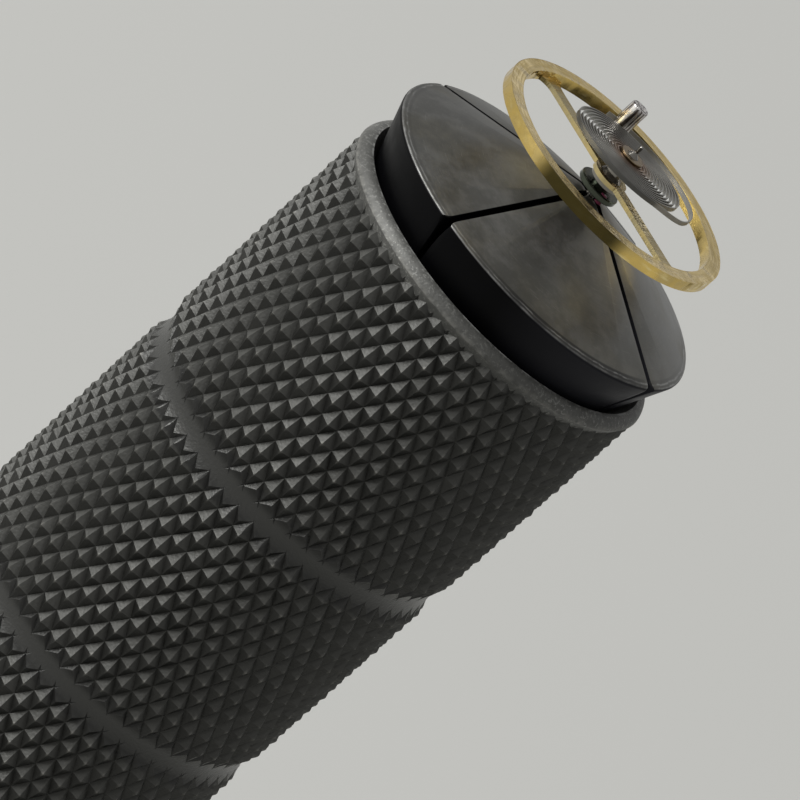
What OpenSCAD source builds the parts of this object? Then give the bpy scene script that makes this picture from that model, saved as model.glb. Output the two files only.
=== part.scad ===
// Hand-held collet holder for a complete watch balance.
// Turning the knob at the tail draws a split collet into the mouth of the
// knurled handle, and its four jaws close on the lower arbor of the balance staff.
// Millimetres, +Z along the tool, origin at the middle of the knob's flat end.

/* [Handle] */
// Diameter over the crests of the knurling
handle_d = 12; // [11.9:0.1:14]
// Length of the knurled handle
handle_len = 59.5; // [58:0.5:80]
// Number of coves turned round the handle
cove_count = 6; // [3:1:6]
// From the mouth to the middle of the first cove
first_cove = 9.05; // [8:0.05:10]
// From the middle of one cove to the next
cove_pitch = 8.35; // [7:0.05:9]
// Depth of a cove below the crests
cove_depth = 0.2; // [0.1:0.01:0.3]
// Width of a cove at the crests
cove_w = 1.5; // [1:0.1:2]
// Diameter of the mouth at its front edge
mouth_d = 11.2; // [11:0.1:11.5]
// Length of the rounded rim at the mouth
rim_len = 0.43; // [0.3:0.01:0.8]
// Chamfer on the outer edges of the tail and the knob
edge_chamfer = 0.4; // [0.2:0.05:0.6]
// Diameter of the bore round the spring fingers
finger_bore_d = 9.2; // [9:0.1:9.4]
// Depth of the finger bore below the mouth
finger_bore_len = 13.6; // [12:0.1:14]
// Diameter of the chamber round the draw spindle
chamber_d = 9; // [8.8:0.1:9.4]

/* [Collet] */
// Widest diameter of the four jaws
head_d = 11.96; // [11.8:0.02:12.2]
// Height of the widest edge above the mouth, jaws closed
edge_rise = 1.57; // [1.3:0.01:2]
// Slope of the conical nose
nose_angle = 19.3; // [15:0.1:25]
// Slope of the closing taper, from the tool's axis
closing_angle = 20.9; // [20:0.1:22]
// Depth of the closing taper below the mouth
taper_depth = 2; // [1.6:0.1:2.4]
// Width of the small bevel on the widest edge
bevel_w = 0.33; // [0.1:0.01:0.5]
// Height of the small bevel on the widest edge
bevel_h = 0.1; // [0.05:0.01:0.2]
// Diameter of the flat tip of the jaws
tip_d = 0.9; // [0.7:0.05:1.2]
// Length of the land that grips the arbor
grip_len = 0.6; // [0.4:0.05:0.8]
// Diameter of the relief behind the gripping land
relief_d = 1.2; // [0.8:0.1:1.6]
// Thickness of the nose over the relief
nose_wall = 1.5; // [1.2:0.1:2]
// Depth of the collet's hollow below the mouth, where its cone begins
hollow_depth = 0.5; // [0:0.1:1]
// Width of the slits between the jaws
slit_w = 0.21; // [0.15:0.01:0.4]
// Outside diameter of the spring fingers
finger_d = 8; // [7.6:0.1:8.2]
// Wall of the spring fingers
finger_wall = 0.8; // [0.5:0.1:1]
// Depth of the finger roots below the mouth
root_depth = 14; // [13.9:0.1:16]
// Diameter of the collet's shank
shank_d = 8.4; // [8.2:0.1:8.6]
// Length of the collet's shank
shank_len = 13; // [12:0.5:14]
// Diameter of the threaded tail
thread_d = 4; // [3:0.1:4.4]
// Length of the threaded tail
thread_len = 18; // [12:1:20]
// Forward travel of the collet from closed to open
travel = 1; // [0.5:0.1:1.2]
// Width of the slot that keeps the collet from turning
slot_w = 1.5; // [1.2:0.1:2]
// Depth of that slot
slot_depth = 0.8; // [0.6:0.1:1.2]

/* [Guide screw] */
// Cove that the guide screw sits in, counted from the mouth
guide_cove = 2; // [2:1:2]
// Diameter of the screw in the handle wall
guide_screw_d = 2; // [1.8:0.1:2.4]
// Depth of a screwdriver slot
driver_slot_depth = 0.4; // [0.2:0.05:0.6]
// Width of a screwdriver slot
driver_slot_w = 0.35; // [0.2:0.05:0.5]

/* [Draw spindle] */
// Outside diameter of the spindle
spindle_d = 6.4; // [5.8:0.1:7]
// Gap between the shank and the spindle, jaws closed
spindle_gap = 2.5; // [1.5:0.1:3]
// Diameter of the thrust flange
flange_d = 8.4; // [7.8:0.1:8.6]
// Thickness of the thrust flange
flange_t = 2; // [1:0.1:3]
// Diameter of the journal in the rear bush
journal_d = 5; // [4.5:0.1:5.4]
// Length of the journal inside the knob
knob_seat_len = 7.5; // [6:0.1:8]
// Depth of the drilled hole in the spindle
spindle_bore_len = 20; // [18:1:21]
// Outside diameter of the bronze draw nut
nut_d = 5.2; // [5:0.1:5.6]
// Length of the bronze draw nut
nut_len = 9; // [6:0.5:12]

/* [Rear bearing] */
// Outside diameter of the rear bush
bush_d = 10; // [9.6:0.1:10.4]
// Length of the rear bush
bush_len = 6; // [5:0.1:8]
// Thickness of the thrust washers
washer_t = 0.5; // [0.3:0.05:0.8]
// Outside diameter of the rear thrust washer
rear_washer_d = 10.6; // [9:0.1:11]

/* [Knob] */
// Diameter of the knob over its knurling
knob_d = 12; // [11.6:0.1:14]
// Length of the knob
knob_len = 13; // [12:0.5:18]
// From the knob's front face to its cove
knob_cove_place = 4.4; // [4:0.1:5]
// Diameter of the pin that drives the spindle
drive_pin_d = 1.2; // [0.8:0.1:1.5]
// Diameter of the knob screw's head
knob_screw_head_d = 5; // [4:0.1:6]
// Height of the knob screw's head
knob_screw_head_h = 1.6; // [1:0.1:2]
// Diameter of the knob screw's thread
knob_screw_d = 2.5; // [2:0.1:2.6]
// Length of the screw's thread in the spindle
knob_screw_grip = 2.4; // [1.5:0.1:2.5]
// How far the screw head lies below the knob's end face
knob_screw_sink = 0.4; // [0.1:0.1:1]

/* [Balance wheel] */
// Diameter of the balance wheel
wheel_d = 8.72; // [8:0.02:10]
// Radial width of its rim
rim_w = 0.49; // [0.4:0.01:0.7]
// Height of its rim
rim_h = 0.375; // [0.3:0.005:0.5]
// Width of its arm
arm_w = 0.46; // [0.3:0.01:0.6]
// Thickness of its arm
arm_t = 0.15; // [0.1:0.01:0.25]
// Width that each arm end flares by at the rim
arm_flare = 0.5; // [0.2:0.05:0.8]
// Diameter of the boss at the middle of the arm
boss_d = 1.24; // [1.1:0.02:1.5]
// Direction of the arm about the axis
arm_turn = -7.4; // [-45:0.1:45]

/* [Balance staff and roller] */
// Diameter of the lower arbor that the jaws grip
arbor_d = 0.4; // [0.3:0.02:0.5]
// Length of the lower arbor below the jaws' tip
arbor_len = 0.55; // [0.4:0.05:0.6]
// Diameter of the pivots
pivot_d = 0.12; // [0.1:0.01:0.16]
// Length of the lower pivot
lower_pivot_len = 0.3; // [0.2:0.05:0.5]
// Length of the upper pivot
upper_pivot_len = 0.25; // [0.2:0.05:0.4]
// Diameter of the staff's seat inside the wheel
wheel_seat_d = 0.8; // [0.7:0.02:0.9]
// Diameter of the staff's hub under the wheel
staff_hub_d = 1.04; // [0.96:0.02:1.2]
// Height of the staff's hub under the wheel
staff_hub_h = 0.16; // [0.1:0.01:0.3]
// Diameter of the shoulder under the hairspring collet
shoulder_d = 0.6; // [0.5:0.02:0.7]
// Gap between the jaws' tip and the roller
roller_clear = 0.15; // [0.1:0.01:0.3]
// Height of the safety roller
safety_h = 0.1; // [0.08:0.01:0.2]
// Diameter of the safety roller
safety_d = 0.66; // [0.56:0.02:0.7]
// Diameter of the roller table
roller_d = 1.44; // [1.3:0.02:1.8]
// Thickness of the roller table
roller_t = 0.2; // [0.15:0.01:0.3]
// Height of the roller's pipe above its table
pipe_h = 0.13; // [0.1:0.01:0.3]
// From the axis to the impulse jewel
jewel_offset = 0.52; // [0.48:0.01:0.54]
// Direction of the impulse jewel about the axis
jewel_turn = -32; // [-180:1:180]
// Diameter of the impulse jewel
jewel_d = 0.24; // [0.16:0.01:0.28]
// How far the jewel stands below the roller table
jewel_drop = 0.12; // [0.05:0.01:0.14]

/* [Hairspring] */
// Height of the spring's middle above the top of the arm
spring_rise = 0.74; // [0.6:0.01:1]
// Diameter of the hairspring collet
spring_collet_d = 0.84; // [0.76:0.02:0.9]
// Height of the hairspring collet
spring_collet_h = 0.36; // [0.3:0.01:0.5]
// Number of turns of the spring
spring_turns = 13; // [8:1:14]
// Radius of the outermost full turn
spring_r = 2.13; // [1.8:0.01:2.2]
// Radius of the outer curve that leads to the stud
stud_r = 2.58; // [2.5:0.01:2.8]
// Thickness of the spring's strip
strip_t = 0.04; // [0.03:0.01:0.05]
// Height of the spring's strip
strip_h = 0.15; // [0.1:0.01:0.2]
// Direction of the stud about the axis
stud_turn = 133; // [120:1:150]
// Angle that the free spring sags by towards its stud
spring_sag = 5; // [0:0.5:6]
// Diameter of the stud
stud_d = 0.62; // [0.5:0.02:0.7]
// Length of the stud
stud_len = 1; // [0.8:0.05:1.3]
// Height of the stud's lower end below the spring
stud_drop = 0.18; // [0.12:0.01:0.3]
// Diameter of the two pins that hold the spring's ends
spring_pin_d = 0.1; // [0.06:0.01:0.12]
// Length of the pin in the hairspring collet
collet_pin_len = 0.9; // [0.9:0.02:1.1]
// Direction of the pin in the hairspring collet
collet_pin_turn = 202; // [180:1:359]
// Length of the pin in the stud
stud_pin_len = 0.8; // [0.72:0.02:1]

/* [Fits] */
// Running clearance on the radius
run_gap = 0.03; // [0.01:0.01:0.06]
// Clearance between faces that turn or slide on each other
face_gap = 0.02; // [0.01:0.01:0.05]
// Clearance of fixed seats on the radius
seat_gap = 0.01; // [0.005:0.005:0.02]

/* [Hidden] */
$fn = 96;
cut = 1;                                   // how far a cut runs past a face
arc_steps = 8;                             // steps of the rounded rim
coil_step = 12;                            // degrees between points of the spring
lead_angle = 35;                           // degrees over which the last turn widens
lead_gap = 28;                             // degrees from the last full turn to +X

// Heights along the tool, from the knob's flat end upwards
handle_z = knob_len + washer_t + 2 * face_gap;
mouth_z = handle_z + handle_len;
edge_z = mouth_z + edge_rise;
bevel_r = head_d / 2 - bevel_w;
bevel_z = edge_z + bevel_h;
tip_z = bevel_z + (bevel_r - tip_d / 2) * tan(nose_angle);
taper_z = mouth_z - taper_depth;
taper_r = head_d / 2 - (edge_rise + taper_depth) * tan(closing_angle);
root_z = mouth_z - root_depth;
shank_z = root_z - face_gap - shank_len;
thread_z = shank_z - thread_len;
spindle_top = shank_z - spindle_gap;
flange_z = handle_z + bush_len + washer_t + 2 * face_gap;
spindle_z = knob_len - knob_seat_len;
cove_r = (cove_w * cove_w / 4 + cove_depth * cove_depth) / (2 * cove_depth);
guide_z = mouth_z - first_cove - (guide_cove - 1) * cove_pitch;
knob_cove_z = knob_len - knob_cove_place;
grip_d = arbor_d + 2 * seat_gap;

// Heights of the balance, stacked on the jaws' tip
roller_z = tip_z + roller_clear + safety_h;
hub_z = roller_z + roller_t + pipe_h;
wheel_z = hub_z + staff_hub_h;
spring_z = wheel_z + arm_t + spring_rise;
stud_spring_z = spring_z - stud_r * sin(spring_sag);

// A plain ring between two heights
module ring(bottom, top, outer_d, inner_d) {
    difference() {
        translate([0, 0, bottom]) cylinder(h = top - bottom, d = outer_d);
        translate([0, 0, bottom - cut]) cylinder(h = top - bottom + 2 * cut, d = inner_d);
    }
}

// A rod between two heights
module rod(bottom, top, d) {
    translate([0, 0, bottom]) cylinder(h = top - bottom, d = d);
}

// The shallow round groove that is cut round a barrel
module cove(barrel_d, height) {
    translate([0, 0, height]) rotate_extrude()
        translate([barrel_d / 2 + cove_r - cove_depth, 0]) circle(r = cove_r);
}

// A straight screwdriver slot in a face that looks along +Z at a height
module driver_slot(height, width) {
    translate([-width / 2, -driver_slot_w / 2, height - driver_slot_depth])
        cube([width, driver_slot_w, driver_slot_depth + cut]);
}

// The guide screw and its hole lie along +Y, at the height of their cove
module along_guide() {
    translate([0, 0, guide_z]) rotate([-90, 0, 0]) children();
}

// Knurled steel sleeve: rounded mouth, closing seat, bores and coves
module handle_sleeve() {
    outer_r = handle_d / 2;
    mouth_r = mouth_d / 2;
    seat_shift = face_gap / cos(closing_angle);
    chamfer_depth = (mouth_r - taper_r - seat_shift) - taper_depth * tan(closing_angle);
    seat_top_z = mouth_z - 2 * chamfer_depth;
    seat_top_r = taper_r + seat_shift + (seat_top_z - taper_z) * tan(closing_angle);
    rim_arc = [for (i = [0:arc_steps])
        let (t = 90 * i / arc_steps)
        [mouth_r + (outer_r - mouth_r) * sin(t), mouth_z - rim_len * (1 - cos(t))]];
    guide_bore_z = mouth_z - finger_bore_len;
    bush_top = handle_z + bush_len;
    seat_low_z = taper_z - (taper_r + seat_shift - finger_bore_d / 2) / tan(closing_angle);
    color([0.19, 0.19, 0.19]) difference() {
        rotate_extrude() polygon(concat(
            [[finger_bore_d / 2, seat_low_z], [seat_top_r, seat_top_z]],
            rim_arc,
            [[outer_r, handle_z + edge_chamfer], [outer_r - edge_chamfer, handle_z],
             [bush_d / 2 + seat_gap, handle_z], [bush_d / 2 + seat_gap, bush_top],
             [chamber_d / 2, bush_top], [chamber_d / 2, shank_z - travel],
             [shank_d / 2 + run_gap, shank_z - travel],
             [shank_d / 2 + run_gap, guide_bore_z], [finger_bore_d / 2, guide_bore_z]]));
        for (i = [0:cove_count - 1])
            cove(handle_d, mouth_z - first_cove - i * cove_pitch);
        along_guide() cylinder(h = handle_d, d = guide_screw_d + 2 * seat_gap);
    }
}

// Slotted screw whose dog point runs in the collet's slot
module guide_screw() {
    point_d = slot_w - 2 * run_gap;
    point_end = shank_d / 2 - slot_depth + 2 * run_gap;
    body_start = shank_d / 2 + 2 * run_gap;
    head_end = handle_d / 2 - cove_depth;
    color([0.45, 0.45, 0.45]) along_guide() difference() {
        union() {
            rod(point_end, body_start + cut / 10, point_d);
            rod(body_start, head_end, guide_screw_d);
        }
        driver_slot(head_end, guide_screw_d + cut);
    }
}

// Bronze bush that carries the spindle at the tail of the handle
module rear_bush() {
    color([0.69, 0.53, 0.27])
        ring(handle_z, handle_z + bush_len, bush_d, journal_d + 2 * run_gap);
}

module front_thrust_washer() {
    bottom = handle_z + bush_len + face_gap;
    color([0.6, 0.6, 0.62])
        ring(bottom, bottom + washer_t, flange_d, journal_d + 4 * run_gap);
}

module rear_thrust_washer() {
    bottom = knob_len + face_gap;
    color([0.6, 0.6, 0.62])
        ring(bottom, bottom + washer_t, rear_washer_d, journal_d + 4 * run_gap);
}

// Solid rear half of the collet, with its guide slot and threaded tail
module collet_shank() {
    slot_top = guide_z + slot_w / 2 + run_gap;
    slot_bottom = guide_z - slot_w / 2 - travel - run_gap;
    hollow_bottom = slot_top + slot_w;
    color([0.3, 0.3, 0.3]) difference() {
        union() {
            rod(shank_z, root_z - face_gap, shank_d);
            rod(thread_z, shank_z + cut, thread_d);
        }
        rod(hollow_bottom, root_z + cut, finger_d - 2 * finger_wall);
        translate([-slot_w / 2, shank_d / 2 - slot_depth, slot_bottom])
            cube([slot_w, slot_depth + cut, slot_top - slot_bottom]);
    }
}

// One quarter of the split collet: nose, closing taper and spring finger
module jaw(quarter) {
    finger_r = finger_d / 2;
    hollow_r = finger_r - finger_wall;
    profile = [
        [grip_d / 2, tip_z - grip_len], [grip_d / 2, tip_z], [tip_d / 2, tip_z],
        [bevel_r, bevel_z], [head_d / 2, edge_z], [taper_r, taper_z],
        [finger_r, taper_z - (taper_r - finger_r)], [finger_r, root_z],
        [hollow_r, root_z], [hollow_r, mouth_z - hollow_depth],
        [relief_d / 2, tip_z - nose_wall], [relief_d / 2, tip_z - grip_len]];
    color([0.24, 0.24, 0.25]) rotate([0, 0, 90 * quarter]) intersection() {
        rotate_extrude() polygon(profile);
        translate([slit_w / 2, slit_w / 2, root_z - cut])
            cube([head_d, head_d, tip_z - root_z + 2 * cut]);
    }
}

// Hollow spindle: flange, journal and the seat of the draw nut
module draw_spindle() {
    color([0.62, 0.62, 0.64]) difference() {
        union() {
            rod(flange_z, spindle_top, spindle_d);
            rod(flange_z, flange_z + flange_t, flange_d);
            rod(spindle_z, flange_z + cut, journal_d);
        }
        rod(spindle_top - nut_len - seat_gap, spindle_top + cut, nut_d + 2 * seat_gap);
        rod(spindle_top - spindle_bore_len, spindle_top, thread_d + 4 * run_gap);
        rod(spindle_z - cut, spindle_z + knob_screw_grip + seat_gap,
            knob_screw_d + 2 * seat_gap);
        translate([0, 0, knob_cove_z]) rotate([90, 0, 0])
            cylinder(h = 2 * journal_d, d = drive_pin_d + 2 * seat_gap, center = true);
    }
}

// Bronze nut, fixed in the spindle, that draws the threaded tail
module draw_nut() {
    color([0.72, 0.55, 0.3])
        ring(spindle_top - nut_len, spindle_top, nut_d, thread_d + 2 * run_gap);
}

// Knurled knob at the tail, with the flat face that the tool stands on
module draw_knob() {
    outer_r = knob_d / 2;
    seat_r = journal_d / 2 + seat_gap;
    color([0.19, 0.19, 0.19]) difference() {
        rotate_extrude() polygon([
            [0, 0], [outer_r - edge_chamfer, 0], [outer_r, edge_chamfer],
            [outer_r, knob_len - edge_chamfer], [outer_r - edge_chamfer, knob_len],
            [seat_r, knob_len], [seat_r, spindle_z - seat_gap],
            [0, spindle_z - seat_gap]]);
        cove(knob_d, knob_cove_z);
        rod(-cut, knob_screw_sink + knob_screw_head_h, knob_screw_head_d + 2 * seat_gap);
        rod(0, knob_len, knob_screw_d + 2 * seat_gap);
        translate([0, 0, knob_cove_z]) rotate([90, 0, 0])
            cylinder(h = 2 * knob_d, d = drive_pin_d + 2 * seat_gap, center = true);
    }
}

// Pin through the knob's cove that turns the spindle
module drive_pin() {
    color([0.7, 0.7, 0.72]) translate([0, 0, knob_cove_z]) rotate([90, 0, 0])
        cylinder(h = knob_d - 2 * cove_depth, d = drive_pin_d, center = true);
}

// Slotted screw that holds the knob on the spindle
module knob_screw() {
    head_top = knob_screw_sink + knob_screw_head_h;
    color([0.55, 0.55, 0.56]) difference() {
        union() {
            rod(knob_screw_sink, head_top - seat_gap, knob_screw_head_d);
            rod(head_top - seat_gap - cut / 10, spindle_z + knob_screw_grip, knob_screw_d);
        }
        translate([0, 0, 2 * knob_screw_sink]) mirror([0, 0, 1])
            driver_slot(knob_screw_sink, knob_screw_head_d + cut);
    }
}

// Turned wheel with one straight arm across it and a boss on the staff
module balance_wheel() {
    inner_r = wheel_d / 2 - rim_w;
    flare_len = arm_flare;
    color([0.8, 0.66, 0.33]) difference() {
        union() {
            ring(wheel_z, wheel_z + rim_h, wheel_d, 2 * inner_r);
            rotate([0, 0, arm_turn]) translate([0, 0, wheel_z]) linear_extrude(arm_t) {
                for (side = [0, 180]) rotate(side) polygon([
                    [0, arm_w / 2], [inner_r - flare_len, arm_w / 2],
                    [inner_r + rim_w / 4, arm_w / 2 + arm_flare],
                    [inner_r + rim_w / 4, -arm_w / 2 - arm_flare],
                    [inner_r - flare_len, -arm_w / 2], [0, -arm_w / 2]]);
                circle(d = boss_d);
            }
        }
        rod(wheel_z - cut, wheel_z + rim_h + cut, wheel_seat_d + 2 * seat_gap);
    }
}

// Turned staff: lower pivot, arbor, hub, wheel seat, shoulder and upper pivot
module balance_staff() {
    pivot_r = pivot_d / 2;
    arbor_r = arbor_d / 2;
    arbor_z = tip_z - arbor_len;
    rivet_z = wheel_z + arm_t;
    shoulder_z = spring_z - spring_collet_h / 2;
    collet_top = spring_z + spring_collet_h / 2;
    cone = arbor_r - pivot_r;
    color([0.75, 0.75, 0.77]) rotate_extrude() polygon([
        [0, arbor_z - cone - lower_pivot_len], [pivot_r, arbor_z - cone - lower_pivot_len],
        [pivot_r, arbor_z - cone], [arbor_r, arbor_z], [arbor_r, hub_z],
        [staff_hub_d / 2, hub_z], [staff_hub_d / 2, wheel_z],
        [wheel_seat_d / 2, wheel_z], [wheel_seat_d / 2, rivet_z],
        [shoulder_d / 2, rivet_z + (wheel_seat_d - shoulder_d) / 2],
        [shoulder_d / 2, shoulder_z], [arbor_r, shoulder_z],
        [arbor_r, collet_top], [pivot_r, collet_top + cone],
        [pivot_r, collet_top + cone + upper_pivot_len],
        [0, collet_top + cone + upper_pivot_len]]);
}

// Impulse jewel's place on the roller, towards +X
module at_jewel() {
    rotate([0, 0, jewel_turn]) translate([jewel_offset, 0, 0]) children();
}

// Steel roller table with the safety roller below it and its pipe above
module roller_table() {
    color([0.6, 0.6, 0.6]) difference() {
        union() {
            rod(roller_z, roller_z + roller_t, roller_d);
            rod(roller_z - safety_h, roller_z + cut / 10, safety_d);
            rod(roller_z, hub_z, shoulder_d);
        }
        rod(roller_z - cut, hub_z + cut, arbor_d + 2 * seat_gap);
        at_jewel() rod(roller_z - cut, hub_z + cut, jewel_d + 2 * seat_gap);
    }
}

module impulse_jewel() {
    color([0.75, 0.08, 0.2]) at_jewel() rod(roller_z - jewel_drop, roller_z + roller_t, jewel_d);
}

// Radius of the spring at an angle counted from its inner end
function coil_r(angle) =
    let (full = 360 * spring_turns,
         first_r = spring_collet_d / 2,
         lead = min(1, max(0, (angle - full) / lead_angle)))
    first_r + (spring_r - first_r) * min(1, angle / full)
    + (stud_r - spring_r) * lead * lead * (3 - 2 * lead);

// The spring's pins lie along the strip, level with it, beside the strip
module spring_pin(length) {
    rotate([90, 0, 0]) cylinder(h = length, d = spring_pin_d, center = true);
}

// Places its children in the plane of the sagging spring
module in_spring_plane() {
    translate([0, 0, spring_z]) rotate([0, 0, stud_turn]) rotate([0, spring_sag, 0])
        rotate([0, 0, -stud_turn]) children();
}

// Flat spiral that widens over its last part and runs to the stud
module hairspring() {
    full = 360 * spring_turns;
    last = full + lead_gap + stud_turn + asin(stud_d / stud_r);
    start_turn = -lead_gap - full;
    steps = ceil(last / coil_step);
    edge = function (side) [for (i = [0:steps])
        let (angle = last * i / steps, r = coil_r(angle) + side * strip_t / 2)
        [r * cos(angle + start_turn), r * sin(angle + start_turn)]];
    inner_edge = edge(-1);
    color([0.5, 0.5, 0.52]) in_spring_plane() linear_extrude(strip_h, center = true)
        polygon(concat(edge(1), [for (i = [steps:-1:0]) inner_edge[i]]));
}

// Split ring on the staff that carries the inner end of the spring
module hairspring_collet() {
    color([0.72, 0.58, 0.3]) difference() {
        ring(spring_z - spring_collet_h / 2, spring_z + spring_collet_h / 2,
             spring_collet_d, arbor_d + 2 * seat_gap);
        rotate([0, 0, collet_pin_turn - 90])
            translate([0, -slit_w / 4, spring_z - spring_collet_h])
                cube([spring_collet_d, slit_w / 2, 2 * spring_collet_h]);
        collet_pin_place() spring_pin(2 * collet_pin_len);
    }
}

// The pin crosses the collet's wall, opposite its split
module collet_pin_place() {
    rotate([0, 0, collet_pin_turn - 90])
        translate([-(spring_collet_d + arbor_d) / 4, 0, spring_z]) children();
}

module collet_pin() {
    color([0.76, 0.62, 0.34]) collet_pin_place() spring_pin(collet_pin_len);
}

// Steel stud that holds the outer end of the spring
module stud_place() {
    rotate([0, 0, stud_turn]) translate([stud_r, 0, stud_spring_z]) children();
}

module hairspring_stud() {
    color([0.78, 0.78, 0.8]) difference() {
        stud_place() rod(-stud_drop, stud_len - stud_drop, stud_d);
        stud_pin_place() spring_pin(2 * stud_pin_len);
    }
}

module stud_pin_place() {
    stud_place() translate([(strip_t + spring_pin_d) / 2 + seat_gap, 0, 0]) children();
}

module stud_pin() {
    color([0.76, 0.62, 0.34]) stud_pin_place() spring_pin(stud_pin_len);
}

handle_sleeve();
guide_screw();
rear_bush();
front_thrust_washer();
rear_thrust_washer();
collet_shank();
jaw(0);  // jaw_1
jaw(1);  // jaw_2
jaw(2);  // jaw_3
jaw(3);  // jaw_4
draw_spindle();
draw_nut();
draw_knob();
drive_pin();
knob_screw();
balance_wheel();
balance_staff();
roller_table();
impulse_jewel();
hairspring();
hairspring_collet();
collet_pin();
hairspring_stud();
stud_pin();
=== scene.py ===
import math
import random

import bpy
from mathutils import Matrix, Vector


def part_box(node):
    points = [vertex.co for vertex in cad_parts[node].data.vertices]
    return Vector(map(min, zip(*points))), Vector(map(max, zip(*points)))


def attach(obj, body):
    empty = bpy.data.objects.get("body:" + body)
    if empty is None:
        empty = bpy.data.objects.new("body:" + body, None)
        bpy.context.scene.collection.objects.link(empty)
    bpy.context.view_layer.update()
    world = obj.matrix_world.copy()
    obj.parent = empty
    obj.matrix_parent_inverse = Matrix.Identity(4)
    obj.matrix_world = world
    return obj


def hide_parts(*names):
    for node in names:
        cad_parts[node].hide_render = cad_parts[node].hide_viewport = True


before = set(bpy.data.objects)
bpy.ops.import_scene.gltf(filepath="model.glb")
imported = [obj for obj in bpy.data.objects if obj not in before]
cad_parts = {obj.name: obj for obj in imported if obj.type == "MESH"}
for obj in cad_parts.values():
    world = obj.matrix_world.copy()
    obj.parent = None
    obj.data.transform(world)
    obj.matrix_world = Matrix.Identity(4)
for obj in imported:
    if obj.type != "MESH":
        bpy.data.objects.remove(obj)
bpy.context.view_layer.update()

# The view. The tool stands on its knob, and the camera looks down on its mouth from
# the front with its top turned to the right, so the tool lies across the view.
MM = 0.001
mouth_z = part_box("handle_sleeve")[1].z / MM
view_azimuth = math.radians(22.06)
view_drop = math.radians(21.337)
view_roll = math.radians(47.887)
camera_distance = 208.557
mouth_right = 3.271
mouth_up = 3.956

level_right = Vector((math.cos(view_azimuth), math.sin(view_azimuth), 0))
level_forward = Vector((-math.sin(view_azimuth), math.cos(view_azimuth), 0))
forward = level_forward * math.cos(view_drop) - Vector((0, 0, math.sin(view_drop)))
level_up = level_right.cross(forward)
right = level_right * math.cos(view_roll) + level_up * math.sin(view_roll)
up = level_up * math.cos(view_roll) - level_right * math.sin(view_roll)
mouth = Vector((0, 0, mouth_z))
eye = mouth - right * mouth_right - up * mouth_up - forward * camera_distance

camera = bpy.data.objects.new("camera", bpy.data.cameras.new("camera"))
bpy.context.scene.collection.objects.link(camera)
camera.matrix_world = (Matrix.Translation(eye * MM)
                       @ Matrix((right, up, -forward)).transposed().to_4x4())
camera.data.sensor_width = 36
camera.data.lens = 312.6
camera.data.clip_start = 0.01
bpy.context.scene.camera = camera


# The stand: one wide sheet of pale grey card. It is matt, lies flat under the tool
# and reaches past the edges of the view.
class Wire:
    """One output of a material's nodes. Sums and products of wires add Math nodes."""

    def __init__(self, tree, socket=None):
        self.tree = tree
        self.socket = socket

    def node(self, kind, settings, sockets, output=0):
        """Adds a node with its settings and its sockets' values or wires."""
        made = self.tree.nodes.new("ShaderNode" + kind)
        for name, value in settings.items():
            setattr(made, name, value)
        for name, value in sockets.items():
            if isinstance(value, Wire):
                self.tree.links.new(value.socket, made.inputs[name])
            else:
                made.inputs[name].default_value = value
        return Wire(self.tree, made.outputs[output])

    def math(self, operation, *values):
        return self.node("Math", {"operation": operation}, dict(enumerate(values)))

    def __add__(self, other):
        return self.math("ADD", self, other)

    def __sub__(self, other):
        return self.math("SUBTRACT", self, other)

    def __rsub__(self, other):
        return self.math("SUBTRACT", other, self)

    def __mul__(self, other):
        return self.math("MULTIPLY", self, other)

    __radd__ = __add__
    __rmul__ = __mul__

    def __abs__(self):
        return self.math("ABSOLUTE", self)

    def larger(self, other):
        return self.math("MAXIMUM", self, other)

    def smaller(self, other):
        return self.math("MINIMUM", self, other)

    def between(self, low, high):
        """0 below low, 1 above high and a smooth rise from one to the other."""
        return self.node("MapRange", {"interpolation_type": "SMOOTHSTEP"},
                         {"Value": self, "From Min": low, "From Max": high})

    def band(self, middle, width):
        """1 at a middle value, falling smoothly to 0 on both sides of it."""
        return 1 - abs(self - middle).between(0, width)

    def parts(self):
        """The X, Y and Z of a place or a direction."""
        split = self.node("SeparateXYZ", {}, {0: self})
        return [Wire(self.tree, output) for output in split.socket.node.outputs]


def new_finish(name):
    """A new material, its shader and the place on the object in millimetres."""
    made = bpy.data.materials.new(name)
    made.use_nodes = True
    tree = made.node_tree
    place = Wire(tree).node("TexCoord", {}, {}, "Object")
    place = place.node("VectorMath", {"operation": "SCALE"}, {0: place, "Scale": 1 / MM})
    return made, tree.nodes["Principled BSDF"], place


def connect(shader, **wires):
    """Joins wires or values to the shader's sockets, named with _ for a space."""
    for name, wire in wires.items():
        socket = shader.inputs[name.replace("_", " ")]
        if isinstance(wire, Wire):
            wire.tree.links.new(wire.socket, socket)
        else:
            socket.default_value = wire


floor_size = 4.0
bpy.ops.object.select_all(action="DESELECT")
bpy.ops.mesh.primitive_plane_add(size=floor_size)
floor = bpy.context.object
floor.name = "floor"
card, card_shader = new_finish("pale_card")[:2]
connect(card_shader, Base_Color=(0.51, 0.51, 0.486, 1), Roughness=0.9)
floor.data.materials.append(card)


# The light: one wide window on the left, in a plain grey room whose ceiling is a
# little lighter than its walls, with one pale wall on the far side.
def mix_colours(first, second, share):
    """A colour between two, which may be wires or plain colours."""
    first = first if isinstance(first, Wire) else (*first, 1)
    second = second if isinstance(second, Wire) else (*second, 1)
    return share.node("Mix", {"data_type": "RGBA"}, {0: share, 6: first, 7: second}, 2)


def towards(place, degrees):
    """How far out a place lies in a level direction, in degrees from the X axis."""
    x, y, z = place.parts()
    turn = math.radians(degrees)
    return x * math.cos(turn) + y * math.sin(turn)


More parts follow.
